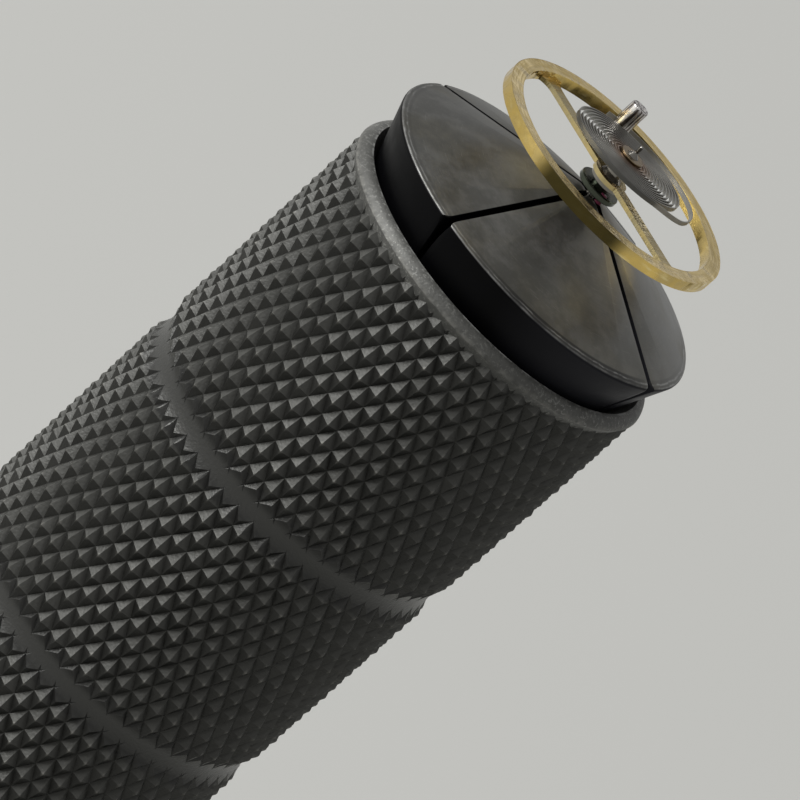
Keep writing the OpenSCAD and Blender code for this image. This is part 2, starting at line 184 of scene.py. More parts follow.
window_turn = math.radians(218)
window_lift = math.radians(29)
window_distance = 2.0
to_window = Vector((math.cos(window_turn) * math.cos(window_lift),
                    math.sin(window_turn) * math.cos(window_lift), math.sin(window_lift)))
window = bpy.data.objects.new("window", bpy.data.lights.new("window", "AREA"))
window.data.size = 1.5
window.data.energy = 66
window.location = mouth * MM + to_window * window_distance
window.rotation_euler = to_window.to_track_quat("Z", "Y").to_euler()
bpy.context.scene.collection.objects.link(window)

world = bpy.data.worlds.new("room")
bpy.context.scene.world = world
world.use_nodes = True
room = world.node_tree.nodes["Background"]
direction = Wire(world.node_tree).node("TexCoord", {}, {}, "Generated")
pale_wall = towards(direction, 99.8).between(0.885, 1.005)
glow = direction.parts()[2].between(-0.1, 1.0) * 0.17 + pale_wall * 0.35 + 0.25
grey = mix_colours((0, 0, 0), (1, 1, 1), glow)
world.node_tree.links.new(grey.socket, room.inputs["Color"])
room.inputs["Strength"].default_value = 1.0

bpy.context.scene.view_settings.view_transform = "Standard"


# Handle sleeve: one bar of steel, turned and bored, then rolled between two knurling
# wheels whose grooves cross, with its coves and its rounded mouth cut afterwards and
# the whole part blackened.
def only(piece):
    """Makes a piece the one that operators act on."""
    bpy.ops.object.select_all(action="DESELECT")
    piece.select_set(True)
    bpy.context.view_layer.objects.active = piece


def start_edit(piece, element="VERT"):
    """Opens a piece for editing, with all of it selected."""
    only(piece)
    bpy.ops.object.mode_set(mode="EDIT")
    bpy.ops.mesh.select_mode(type=element)
    bpy.ops.mesh.select_all(action="SELECT")


def end_edit():
    bpy.ops.object.mode_set(mode="OBJECT")


def mend(piece, gap=0.0005):
    """Merges doubled corners and turns every face outwards."""
    start_edit(piece)
    bpy.ops.mesh.remove_doubles(threshold=gap)
    bpy.ops.mesh.delete_loose()
    bpy.ops.mesh.select_all(action="SELECT")
    bpy.ops.mesh.normals_make_consistent(inside=False)
    end_edit()


def modify(piece, kind, **settings):
    """Adds a modifier with its settings and applies it."""
    only(piece)
    added = piece.modifiers.new(kind.lower(), kind)
    for name, value in settings.items():
        setattr(added, name, value)
    bpy.ops.object.modifier_apply(modifier=added.name)


def combine(piece, operation, other):
    """Joins, cuts or keeps the overlap of two closed solids, and removes the second."""
    modify(piece, "BOOLEAN", operation=operation, object=other, solver="MANIFOLD")
    bpy.data.objects.remove(other)


def turned(name, outline, steps):
    """A solid of revolution from a closed outline of (radius, height) points."""
    bpy.ops.object.select_all(action="DESELECT")
    bpy.ops.mesh.primitive_circle_add(vertices=len(outline))
    piece = bpy.context.object
    piece.name = name
    for corner, (radius, height) in zip(piece.data.vertices, outline):
        corner.co = (radius, 0, height)
    start_edit(piece)
    bpy.ops.mesh.spin(steps=steps, angle=2 * math.pi, center=(0, 0, 0), axis=(0, 0, 1))
    end_edit()
    mend(piece)
    return piece


def round_bar(name, radius, start, end, steps=48):
    """A closed round bar from one point to another."""
    start, end = Vector(start), Vector(end)
    bpy.ops.object.select_all(action="DESELECT")
    bpy.ops.mesh.primitive_cylinder_add(
        vertices=steps, radius=radius, depth=(end - start).length,
        location=(start + end) / 2,
        rotation=(end - start).to_track_quat("Z", "Y").to_euler())
    piece = bpy.context.object
    piece.name = name
    bpy.ops.object.transform_apply(location=True, rotation=True, scale=True)
    return piece


def arc(middle, radius, start, end, steps):
    """Points on a round stretch of an outline, with its angles in degrees."""
    points = []
    for step in range(steps + 1):
        angle = math.radians(start + (end - start) * step / steps)
        points.append((middle[0] + radius * math.cos(angle),
                       middle[1] + radius * math.sin(angle)))
    return points


def finish(piece, material, body, node, degrees=25):
    """Gives a piece its material and its real size, and joins it to its body."""
    only(piece)
    bpy.ops.object.shade_smooth_by_angle(angle=math.radians(degrees))
    piece.data.materials.clear()
    piece.data.materials.append(material)
    piece.data.transform(Matrix.Scale(MM, 4))
    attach(piece, body)
    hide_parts(node)


# A close fit, a sliding fit, and how far cutting solids run past a face or the wall.
fit_gap = 0.01
slide_gap = 0.03
cut = 1
past_wall = 9
crest_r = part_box("handle_sleeve")[1].x / MM
tail_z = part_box("handle_sleeve")[0].z / MM
edge_chamfer = 0.4
knurl_starts = 54
knurl_rise = 1.129
knurl_depth = 0.21
knurl_tip = 0.015
tip_shift = 0.03
tip_wear = 0.012
knurl_turn = math.radians(-66.2)
knurl_place = 2.5
barrel_steps = 4 * knurl_starts
valley_r = crest_r - knurl_depth
cove_depth = 0.22
cove_w = 1.5
first_cove = 9.05
cove_pitch = 8.35
cove_count = 6
cove_steps = 12


def knurl(name, bottom, top, turn, apex_z):
    """A closed tube of pyramids, with one apex at a turn and a height."""
    width = 2 * math.pi * crest_r / knurl_starts
    rows = math.ceil((top - bottom) / knurl_rise) + 3
    inner_radius = width * knurl_rise / 2 / math.hypot(width, knurl_rise)
    start = apex_z - math.ceil((apex_z - bottom) / knurl_rise + 1) * knurl_rise
    bpy.ops.object.select_all(action="DESELECT")
    # One tooth stands on a lozenge: a square on its corner, one across, stretched.
    bpy.ops.mesh.primitive_plane_add(size=math.sqrt(0.5))
    tube = bpy.context.object
    tube.name = name
    start_edit(tube, "FACE")
    bpy.ops.transform.rotate(value=math.radians(45), orient_axis="Z",
                             center_override=(0, 0, 0))
    bpy.ops.transform.resize(value=(width, knurl_rise, 1), center_override=(0, 0, 0))
    bpy.ops.mesh.inset(thickness=inner_radius - knurl_tip, depth=knurl_depth)
    end_edit()
    for count, step in ((2, (width / 2, knurl_rise / 2, 0)), (rows, (0, knurl_rise, 0)),
                        (knurl_starts, (width, 0, 0))):
        modify(tube, "ARRAY", count=count, use_relative_offset=False,
               use_constant_offset=True, constant_offset_displace=step)
    # Each tip is moved and worn a little, then the sheet of teeth is rolled up.
    chance = random.Random(name)
    shifts = {}
    for corner in tube.data.vertices:
        along, height, rise = corner.co
        if rise > knurl_depth / 2:
            tip = (round(2 * along / width), round(2 * height / knurl_rise))
            if tip not in shifts:
                shifts[tip] = [chance.uniform(-1, 1) for axis in range(3)]
            shift = shifts[tip]
            along += shift[0] * tip_shift
            height += shift[1] * tip_shift
            rise -= (1 + shift[2]) * tip_wear
        angle = turn + 2 * math.pi * along / (width * knurl_starts)
        radius = valley_r + rise
        corner.co = (radius * math.cos(angle), radius * math.sin(angle), start + height)
    start_edit(tube)
    bpy.ops.mesh.remove_doubles(threshold=0.002)
    bpy.ops.mesh.select_all(action="DESELECT")
    bpy.ops.mesh.select_non_manifold(extend=False)
    bpy.ops.mesh.fill_holes(sides=0)
    bpy.ops.mesh.select_all(action="SELECT")
    bpy.ops.mesh.normals_make_consistent(inside=False)
    end_edit()
    return tube


def cove_points(height):
    """The outline of one cove, from its upper crest to its lower one."""
    radius = (cove_w ** 2 / 4 + cove_depth ** 2) / (2 * cove_depth)
    half = math.degrees(math.asin(cove_w / 2 / radius))
    middle = (crest_r - cove_depth + radius, height)
    return arc(middle, radius, 180 - half, 180 + half, cove_steps)


mouth_r = 5.6
rim_len = 0.43
rim_steps = 10
outside = []
for step in range(rim_steps + 1):
    turn = math.radians(90 * step / rim_steps)
    outside.append((mouth_r + (crest_r - mouth_r) * math.sin(turn),
                    mouth_z - rim_len * (1 - math.cos(turn))))
for number in range(cove_count):
    outside += cove_points(mouth_z - first_cove - number * cove_pitch)
outside += [(crest_r, tail_z + edge_chamfer), (crest_r - edge_chamfer, tail_z)]

closing_slope = math.tan(math.radians(20.9))
seat_r = 4.638
seat_z = mouth_z - 2
seat_top_z = mouth_z - 0.41
seat_top_r = seat_r + (seat_top_z - seat_z) * closing_slope
finger_bore_r = 4.6
finger_bore_z = mouth_z - 13.6
shank_bore_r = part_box("collet_shank")[1].x / MM + slide_gap
thread_len = 18
travel = 1
chamber_r = 4.5
chamber_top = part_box("collet_shank")[0].z / MM + thread_len - travel
bush_hole_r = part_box("rear_bush")[1].x / MM + fit_gap
bush_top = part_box("rear_bush")[1].z / MM
inside = [(bush_hole_r, tail_z), (bush_hole_r, bush_top), (chamber_r, bush_top),
          (chamber_r, chamber_top), (shank_bore_r, chamber_top),
          (shank_bore_r, finger_bore_z), (finger_bore_r, finger_bore_z),
          (finger_bore_r, seat_z - (seat_r - finger_bore_r) / closing_slope),
          (seat_top_r, seat_top_z)]
handle_sleeve = turned("handle_sleeve_shell", outside + inside, barrel_steps)

# The grooves of the knurl run out just below the rim.
fade_top = mouth_z - 0.33
fade_low = mouth_z - 0.68
fade_slope = knurl_depth / (fade_top - fade_low)
fade_foot = 0.1
rolled = knurl("knurl", tail_z, mouth_z, knurl_turn, mouth_z - knurl_place)
combine(rolled, "UNION", turned("fade", [
    (0, mouth_z + cut), (crest_r, mouth_z + cut), (crest_r, fade_top),
    (valley_r, fade_low), (valley_r - fade_foot, fade_low), (0, fade_low)], barrel_steps))
combine(handle_sleeve, "INTERSECT", rolled)
guide_z = mouth_z - first_cove - cove_pitch
guide_r = 1.0
combine(handle_sleeve, "DIFFERENCE",
        round_bar("guide_hole", guide_r + fit_gap, (0, 0, guide_z),
                  (0, past_wall, guide_z)))


def noise(place, scale, detail, roughness=0.5):
    """Cloudy noise from 0 to 1, with so many waves to the millimetre."""
    return place.node("TexNoise", {}, {"Vector": place, "Scale": scale, "Detail": detail,
                                       "Roughness": roughness})


def radius_of(place):
    """Distance from the tool's axis, in millimetres."""
    x, y, z = place.parts()
    return place.math("SQRT", x * x + y * y)


def upward(place):
    """How far the surface faces up: 1 on top, 0 on a wall and -1 underneath."""
    return place.node("NewGeometry", {}, {}, "Normal").parts()[2]


def bump(height, depth):
    """A bump whose full height is a depth in millimetres."""
    return height.node("Bump", {}, {"Height": height, "Strength": 1.0,
                                    "Distance": depth * MM})


def blackened(name):
    """Black oxide on steel, rubbed thin on the teeth; tail-facing flanks get painted shade."""
    made, shader, place = new_finish(name)
    z = place.parts()[2]
    radius = radius_of(place)
    facing = upward(place)
    cloud = noise(place, 0.9, 3)
    grain = noise(place, 11, 3)
    spots = noise(place, 3.5, 3)
    # The rim is the rounded lip and the cone on which the grooves run out.
    round_rim = (z.between(mouth_z - rim_len - 0.02, mouth_z - rim_len + 0.06)
                 * radius.between(mouth_r - 0.02, mouth_r + 0.01))
    over_fade = radius + (fade_top - z) * fade_slope - crest_r
    rim = round_rim.larger((1 - over_fade.between(0.003, 0.02))
                           * z.between(fade_low - 0.01, fade_low + 0.01))
    # The lip mask marks a painted highlight along the mouth's inner edge.
    lip = radius.band(mouth_r + 0.03, 0.06) * rim * spots.between(0.45, 0.6)
    # The coves lie at even steps below the first one.
    below = mouth_z - first_cove - z
    last_cove = cove_pitch * (cove_count - 1)
    to_cove = below.math("PINGPONG", below, cove_pitch / 2)
    coved = ((1 - to_cove.between(cove_w / 2 - 0.1, cove_w / 2))
             * below.between(-2, -1) * (1 - below.between(last_cove + 1, last_cove + 2)))
    # The black oxide is whole in the valleys, and flanks facing the tail are painted as dark,
    # a painted shade.
    painted_shade_tail_side = 1 - facing.between(-0.35, -0.1)
    valley = ((1 - radius.between(valley_r + 0.01, valley_r + 0.1))
              * abs(facing).between(0.2, 0.35))
    oxide_and_painted_shade = painted_shade_tail_side.larger(valley * 0.7) * (1 - rim)
    dark = mix_colours((0.022, 0.022, 0.02), (0.046, 0.046, 0.0425),
                       cloud * 0.5 + grain * 0.5)
    dark = mix_colours(dark, (0.011, 0.011, 0.01), oxide_and_painted_shade)
    dark = mix_colours(dark, (0.015, 0.015, 0.0148), coved * 0.8)
    # The rim is rubbed grey and chipped in places, but two stretches are left dark as painted
    # shade.
    rubbed_minus_painted_shade = rim * (1 - (towards(place, -55.2).between(4.95, 5.75) * 0.75
                         + towards(place, -131).between(5.1, 5.8) * 0.6))
    chips = noise(place, 9, 2, 0.8).between(0.54, 0.66)
    dark = mix_colours(dark, (0.103, 0.103, 0.097),
                       rubbed_minus_painted_shade * (spots.between(0.3, 0.7) * 0.35 + grain * 0.5 + 0.18))
    # Painted highlight: the lip's edge is made light grey, broken in spots.
    dark = mix_colours(dark, (0.26, 0.26, 0.25), lip * 0.6)
    dark = mix_colours(dark, (0.24, 0.24, 0.225), rubbed_minus_painted_shade * chips * 0.7)
    worn = radius.between(crest_r - 0.07, crest_r + 0.01) * spots.between(0.35, 0.65)
    connect(shader, Base_Color=mix_colours(dark, (0.24, 0.235, 0.215), worn * 0.5),
            Metallic=worn * 0.35 + oxide_and_painted_shade * 0.52 + coved * 0.02 + 0.05,
            Specular_IOR_Level=0.58, Specular_Tint=(1, 1, 0.95, 1),
            Roughness=0.32 + grain * 0.2 + cloud * 0.08 + rim * 0.1 - coved * 0.09,
            Normal=bump(grain, 0.014))
    return made


black_steel = blackened("black_steel")
finish(handle_sleeve, black_steel, "handle", "handle_sleeve")


# Guide screw: a small slotted screw turned from steel, in a cove of the handle. Its
# thin dog point runs in the collet's slot and keeps the collet from turning.
def block(name, low, high):
    """A closed block between two corners."""
    low, high = Vector(low), Vector(high)
    bpy.ops.object.select_all(action="DESELECT")
    bpy.ops.mesh.primitive_cube_add(size=1, location=(low + high) / 2, scale=high - low)
    piece = bpy.context.object
    piece.name = name
    bpy.ops.object.transform_apply(location=True, rotation=True, scale=True)
    return piece


slot_w = 0.35
slot_depth = 0.4
dog_r = 0.72
dog_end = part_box("guide_screw")[0].y / MM
neck = 4.26
screw_edge = 0.08
head_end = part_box("guide_screw")[1].y / MM
guide_screw = turned("guide_screw_turned", [
    (0, dog_end), (dog_r - screw_edge, dog_end), (dog_r, dog_end + screw_edge),
    (dog_r, neck), (guide_r, neck), (guide_r, head_end - screw_edge),
    (guide_r - screw_edge, head_end), (0, head_end)], steps=64)
combine(guide_screw, "DIFFERENCE",
        block("driver_slot", (-guide_r - cut, -slot_w / 2, head_end - slot_depth),
              (guide_r + cut, slot_w / 2, head_end + cut)))
onto_side = Matrix.Rotation(math.radians(-90), 4, "X")
guide_screw.data.transform(Matrix.Translation((0, 0, guide_z)) @ onto_side)


def turned_metal(name, colour, roughness, lines=5.0):
    """Bare metal off the lathe, with fine rings of tool marks round the axis."""
    made, shader, place = new_finish(name)
    z = place.parts()[2]
    rings = noise(place.node("CombineXYZ", {}, {0: radius_of(place) * lines * 4,
                                                2: z * lines}), 1.0, 3)
    cloud = noise(place, 0.6, 3)
    light = tuple(min(1.0, 1.25 * part) for part in colour)
    connect(shader, Base_Color=mix_colours(colour, light, cloud * 0.6 + rings * 0.4),
            Metallic=1.0, Roughness=rings * 0.16 + (roughness - 0.08),
            Normal=bump(rings, 0.002))
    return made


grey_steel = turned_metal("grey_steel", (0.36, 0.36, 0.365), 0.36)
finish(guide_screw, grey_steel, "handle", "guide_screw")


# Collet jaws: a spring steel collet, turned with a closing taper under its head and
# hollowed, hardened, then sawn into quarters. Each quarter flexes on its own finger.
def rounded(before, corner, after, radius, steps=4):
    """The points that round one corner of an outline."""
    corner = Vector(corner)
    sides = [(Vector(side) - corner).normalized() for side in (before, after)]
    half = sides[0].angle(sides[1]) / 2
    middle = corner + (sides[0] + sides[1]).normalized() * radius / math.sin(half)
    start, end = [corner + side * radius / math.tan(half) - middle for side in sides]
    return [tuple(middle + start.slerp(end, step / steps).normalized() * radius)
            for step in range(steps + 1)]


def prism(name, outline, bottom, top):
    """A closed solid that rises straight up from an outline of (x, y) points."""
    bpy.ops.object.select_all(action="DESELECT")
    bpy.ops.mesh.primitive_circle_add(vertices=len(outline), fill_type="NGON")
    piece = bpy.context.object
    piece.name = name
    for corner, (x, y) in zip(piece.data.vertices, outline):
        corner.co = (x, y, bottom)
    start_edit(piece, "FACE")
    bpy.ops.mesh.extrude_region_move(
        TRANSFORM_OT_translate={"value": (0, 0, top - bottom)})
    end_edit()
    mend(piece)
    return piece


def ease(piece, width, segments=2, angle=40):
    """Rounds the sharp edges of a piece a little, as real edges are."""
    modify(piece, "BEVEL", width=width, segments=segments, limit_method="ANGLE",
           angle_limit=math.radians(angle), use_clamp_overlap=True)


head_r = 5.98
edge_z = mouth_z + 1.57
edge_round = 0.1
bevel_r = 5.65
bevel_z = edge_z + 0.1
tip_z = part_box("jaw_1")[1].z / MM
tip_r = 0.45
grip_r = 0.21
grip_len = 0.6
relief_r = 0.6
relief_z = tip_z - 1.5
taper_z = mouth_z - 2
taper_r = 4.617
finger_r = 4.0
hollow_r = 3.2
hollow_z = mouth_z - 0.5
root_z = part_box("jaw_1")[0].z / MM
collet = turned("collet", [
    (grip_r, tip_z - grip_len), (grip_r, tip_z), (tip_r, tip_z), (bevel_r, bevel_z),
    *rounded((bevel_r, bevel_z), (head_r, edge_z), (taper_r, taper_z), edge_round),
    (taper_r, taper_z), (finger_r, taper_z - (taper_r - finger_r)),
    (finger_r, root_z), (hollow_r, root_z), (hollow_r, hollow_z),
    (relief_r, relief_z), (relief_r, tip_z - grip_len)], steps=240)

# A slit is as wide as the saw, but for its mouth in the head's edge, which is dressed
# round: how far out, and how far from the middle of the slit.
slit_w = 0.21
slit_side = slit_w / 2
slit_mouth = [(5.55, slit_side), (5.74, slit_side + 0.02), (5.86, slit_side + 0.06),
              (5.94, slit_side + 0.13), (5.99, slit_side + 0.24), (6.03, slit_side + 0.4)]
past_head = 7
quarter = ([(slit_side, slit_side)] + slit_mouth + [(past_head, past_head)]
           + [(y, x) for x, y in reversed(slit_mouth)])
combine(collet, "INTERSECT", prism("quarter", quarter, root_z - cut, tip_z + cut))
mend(collet, gap=0.008)
ease(collet, 0.018, angle=45)


def burnished(name):
    """Hardened steel, black on taper and slits, with a rubbed and stained turned nose."""
    made, shader, place = new_finish(name)
    x, y, z = place.parts()
    radius = radius_of(place)
    height = z - edge_z
    nose = (height.between(-0.03, 0.02) * upward(place).between(0.1, 0.4)
            * abs(x).smaller(abs(y)).between(slit_side + 0.004, slit_side + 0.02))
    # Rings and marks of turning, then clouds, stains and patina of age.
    rings = noise(place.node("CombineXYZ", {}, {0: radius * 16, 1: x * 0.25, 2: y * 0.25}),
                  1.0, 4, 0.6)
    fine = noise(place.node("CombineXYZ", {}, {0: radius * 60, 1: x, 2: y}), 1.0, 2)
    marks = noise(place.node("CombineXYZ", {}, {0: radius * 26, 1: x * 1.6, 2: y * 1.6}),
                  1.0, 4, 0.7).between(0.6, 0.72)
    cloud = noise(place, 0.7, 4)
    stain = noise(place, 0.38, 3).between(0.42, 0.66)
    patina = noise(place, 1.5, 5, 0.68).between(0.4, 0.62)
    # Two wavering lines, on the head's edge and just inside it, are rubbed bright;
    # the outer one is dimmed on one side of the head as painted shade.
    scratches = noise(place, 1.7, 4, 0.65).between(0.42, 0.6)
    painted_shade_side = towards(place, -36.9).between(4.3, 5.5)
    wavy = radius + (noise(place, 2.5, 3) - 0.5) * 0.12
    edge_line = (wavy.band(head_r - 0.05, 0.07) * height.band(0.03, 0.09)
                 * (0.35 + scratches * 0.65) * (1 - painted_shade_side * 0.5))
    second_line = wavy.band(bevel_r + 0.14, 0.05) * height.between(0.0, 0.06)
    worn = edge_line.larger(second_line * (0.2 + scratches * 0.6))
    # The outer head is darkened in clouds and, as painted shade, on that same side.
    flange = radius.between(bevel_r - 0.02, bevel_r + 0.04) * (painted_shade_side * 0.6 + cloud * 0.35)
    steel = mix_colours((0.125, 0.125, 0.118), (0.26, 0.259, 0.245),
                        cloud * 0.7 + rings * 0.3)
    steel = mix_colours(steel, (0.14, 0.129, 0.095), stain * 0.5)
    steel = mix_colours(steel, (0.34, 0.34, 0.32), marks * 0.5)
    steel = mix_colours(steel, (0.1, 0.1, 0.09), (1 - patina) * 0.42)
    steel = mix_colours(steel, (0.03, 0.03, 0.032), flange)
    black = mix_colours((0.0008, 0.0008, 0.001), (0.0025, 0.0025, 0.003), cloud)
    # Painted light: the black of taper and slits is a little lighter on the +X side.
    black = mix_colours(black, (0.016, 0.016, 0.019), x.between(2.5, 5.5))
    colour = mix_colours(black, steel, nose)
    colour = mix_colours(colour, (0.4, 0.4, 0.385), worn * nose * 0.85)
    connect(shader, Base_Color=colour, Metallic=nose * 0.95, Specular_IOR_Level=0.05,
            Roughness=0.25 + cloud * 0.12 + rings * 0.08 + fine * 0.04 + patina * 0.06,
            Normal=bump(rings * 0.6 + fine * 0.25 + marks * 0.15, 0.005))
    return made


# Three of the jaws are copies of the one quarter, which is itself the fourth.
collet_steel = burnished("collet_steel")
for number in range(1, 5):
    jaw = collet
    if number < 4:
        jaw = collet.copy()
        jaw.data = collet.data.copy()
        bpy.context.scene.collection.objects.link(jaw)
    jaw.name = f"jaw_{number}_quarter"
    jaw.data.transform(Matrix.Rotation(math.radians(90 * (number - 1)), 4, "Z"))
    finish(jaw, collet_steel, f"jaw_{number}", f"jaw_{number}")

# Collet shank, bronze bush and nut, steel thrust washers and spindle: plain turned
# work inside the handle, unseen when the tool is whole.
shank_steel = turned_metal("shank_steel", (0.18, 0.18, 0.185), 0.42)
spindle_steel = turned_metal("spindle_steel", (0.42, 0.42, 0.425), 0.3)
bush_bronze = turned_metal("bush_bronze", (0.55, 0.36, 0.15), 0.34)
for name, material in (("collet_shank", shank_steel), ("rear_bush", bush_bronze),
                       ("front_thrust_washer", spindle_steel),
                       ("rear_thrust_washer", spindle_steel),
                       ("draw_spindle", spindle_steel), ("draw_nut", bush_bronze)):
    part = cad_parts[name]
    part.data.materials.clear()
    part.data.materials.append(material)

# Draw knob: turned, knurled and blackened as the handle is, with one cove for its
# drive pin and a flat tail that the tool stands on.
knob_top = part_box("draw_knob")[1].z / MM
knob_cove_z = knob_top - 4.4
knob_knurl_turn = knurl_turn + 0.03
knob_knurl_place = 0.7
journal_hole_r = 2.51
journal_hole_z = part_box("draw_spindle")[0].z / MM - fit_gap
screw_head_r = 2.5
screw_head_h = 1.6
screw_hole_r = screw_head_r + fit_gap
screw_hole_edge = 0.14
screw_r = 1.25
screw_sink = 0.4
sink_z = screw_sink + screw_head_h
pin_r = 0.6
draw_knob = turned("draw_knob_shell", [
    (journal_hole_r, knob_top), (crest_r - edge_chamfer, knob_top),
    (crest_r, knob_top - edge_chamfer), *cove_points(knob_cove_z),
    (crest_r, edge_chamfer), (crest_r - edge_chamfer, 0),
    (screw_hole_r + screw_hole_edge, 0), (screw_hole_r, screw_hole_edge),
    (screw_hole_r, sink_z), (screw_r + fit_gap, sink_z),
    (screw_r + fit_gap, journal_hole_z), (journal_hole_r, journal_hole_z)], barrel_steps)
combine(draw_knob, "INTERSECT",
        knurl("knob_knurl", 0, knob_top, knob_knurl_turn, knob_top - knob_knurl_place))
combine(draw_knob, "DIFFERENCE",
        round_bar("pin_hole", pin_r + fit_gap, (0, -past_wall, knob_cove_z),
                  (0, past_wall, knob_cove_z)))
finish(draw_knob, black_steel, "knob", "draw_knob")

# Drive pin: a ground steel pin pressed through knob and spindle, its ends dressed
# round with the cove.
pin_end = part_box("drive_pin")[1].y / MM
pin_edge = 0.12
pin_dome = 0.01
drive_pin = turned("drive_pin_ground", [
    (0, -pin_end), (pin_r - pin_edge, -pin_end + pin_dome), (pin_r, -pin_end + pin_edge),
    (pin_r, pin_end - pin_edge), (pin_r - pin_edge, pin_end - pin_dome), (0, pin_end)],
    steps=48)
drive_pin.data.transform(Matrix.Translation((0, 0, knob_cove_z)) @ onto_side)
bright_steel = turned_metal("bright_steel", (0.62, 0.62, 0.63), 0.2)
finish(drive_pin, bright_steel, "knob", "drive_pin")

# Knob screw: a cheese-head screw turned from steel and slotted. It goes in from below
# and holds the knob on the end of the spindle.
screw_chamfer = 0.2
screw_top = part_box("knob_screw")[1].z / MM
screw_head_z = sink_z - fit_gap
knob_screw = turned("knob_screw_turned", [
    (0, screw_sink), (screw_head_r - screw_chamfer, screw_sink),
    (screw_head_r, screw_sink + screw_chamfer), (screw_head_r, screw_head_z),
    (screw_r, screw_head_z), (screw_r, screw_top - screw_chamfer),
    (screw_r - screw_chamfer, screw_top), (0, screw_top)], steps=72)
combine(knob_screw, "DIFFERENCE",
        block("driver_slot", (-screw_head_r - cut, -slot_w / 2, screw_sink - cut),
              (screw_head_r + cut, slot_w / 2, screw_sink + slot_depth)))
finish(knob_screw, grey_steel, "knob", "knob_screw")


# Balance wheel: turned from brass, crossed out to one straight arm that widens in
# fillets to the rim, and rubbed to a soft polish.
def stretched(place, across, along):
    """The place with its X and Y multiplied by one number and its Z by another."""
    return place.node("VectorMath", {"operation": "MULTIPLY"},
                      {0: place, 1: (across, across, along)})


wheel_low, wheel_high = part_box("balance_wheel")
wheel_z = wheel_low.z / MM
wheel_r = 4.36
rim_w = 0.49
rim_h = wheel_high.z / MM - wheel_z
inner_r = wheel_r - rim_w
arm_w = 0.46
arm_t = 0.15
arm_z = wheel_z + arm_t
arm_flare = 0.5
arm_turn = math.radians(-7.4)
boss_r = 0.62
wheel_seat_r = 0.41
balance_wheel = turned("balance_wheel_turned", [
    (inner_r, wheel_z), (wheel_r, wheel_z), (wheel_r, wheel_z + rim_h),
    (inner_r, wheel_z + rim_h)], steps=240)
fillet = arc((inner_r - arm_flare, arm_w / 2 + arm_flare), arm_flare, -90, 0, steps=10)
arm_corner = fillet + [(inner_r + rim_w / 4, arm_w / 2 + arm_flare)]
arm_end = arm_corner + [(x, -y) for x, y in reversed(arm_corner)]
arm = prism("arm", arm_end + [(-x, -y) for x, y in arm_end], wheel_z, arm_z)
arm.data.transform(Matrix.Rotation(arm_turn, 4, "Z"))
combine(balance_wheel, "UNION", arm)
combine(balance_wheel, "UNION",
        round_bar("boss", boss_r, (0, 0, wheel_z), (0, 0, arm_z), steps=96))
combine(balance_wheel, "DIFFERENCE",
        round_bar("seat", wheel_seat_r, (0, 0, wheel_z - cut), (0, 0, wheel_z + cut),
                  steps=96))
mend(balance_wheel, gap=0.004)
ease(balance_wheel, 0.045, segments=3, angle=45)


def rubbed_brass(name, colour, roughness):
    """Brass with the faint rings that turning and rubbing leave, tarnished in patches."""
    made, shader, place = new_finish(name)
    x, y, z = place.parts()
    radius = radius_of(place)
    upper = upward(place).between(0.5, 0.9)
    wall = radius.between(wheel_r - 0.04, wheel_r - 0.01)
    off_arm = radius.between(inner_r - 0.4, inner_r)
    rings = noise(place.node("CombineXYZ", {}, {0: radius * 6, 1: x * 0.6, 2: y * 0.6}),
                  1.0, 3, 0.65).between(0.3, 0.7)
    cloud = noise(place, 0.8, 2)
    waves = noise(place, 1.6, 2) * radius.between(inner_r, wheel_r)
    tarnish = noise(place, 1.5, 2).between(0.4, 0.66)
    bright = noise(stretched(place, 1.3, 5), 1.0, 3).between(0.55, 0.7)
    deep = tuple(0.6 * part for part in colour)
    base = mix_colours(deep, colour, cloud * 0.5 + rings * 0.5)
    # The rim's top is painted palest, a painted sheen from above, and the arm is brownest.
    base = mix_colours(base, (1.0, 0.79, 0.38), upper * off_arm * (rings * 0.4 + 0.4))
    base = mix_colours(base, (0.456, 0.387, 0.216),
                       (1 - off_arm) * 0.65 + tarnish * (0.35 - upper * 0.1))
    # Painted glints: pale gold patches on the rim's walls stand in for highlights.
    base = mix_colours(base, (1.0, 0.86, 0.46), bright * 0.6 * off_arm * (1 - upper))
    # The outer wall has a darker stretch and a near-black patch, both painted reflections.
    dull = wall * towards(place, -162.5).between(0.35 * wheel_r, 0.75 * wheel_r)
    painted_dark_reflection = wall * towards(place, -66.5).between(0.887 * wheel_r, 0.957 * wheel_r)
    base = mix_colours(base, deep, dull * 0.75)
    base = mix_colours(base, (0.05, 0.04, 0.013), painted_dark_reflection * 0.97)
    connect(shader, Base_Color=base, Metallic=1.0,
            Roughness=rings * 0.1 + tarnish * 0.12 + (roughness - 0.05),
            Normal=bump(rings * 0.15 + waves, 0.07))
    return made


brass = rubbed_brass("brass", (0.9, 0.65, 0.2), 0.17)
finish(balance_wheel, brass, "balance", "balance_wheel")

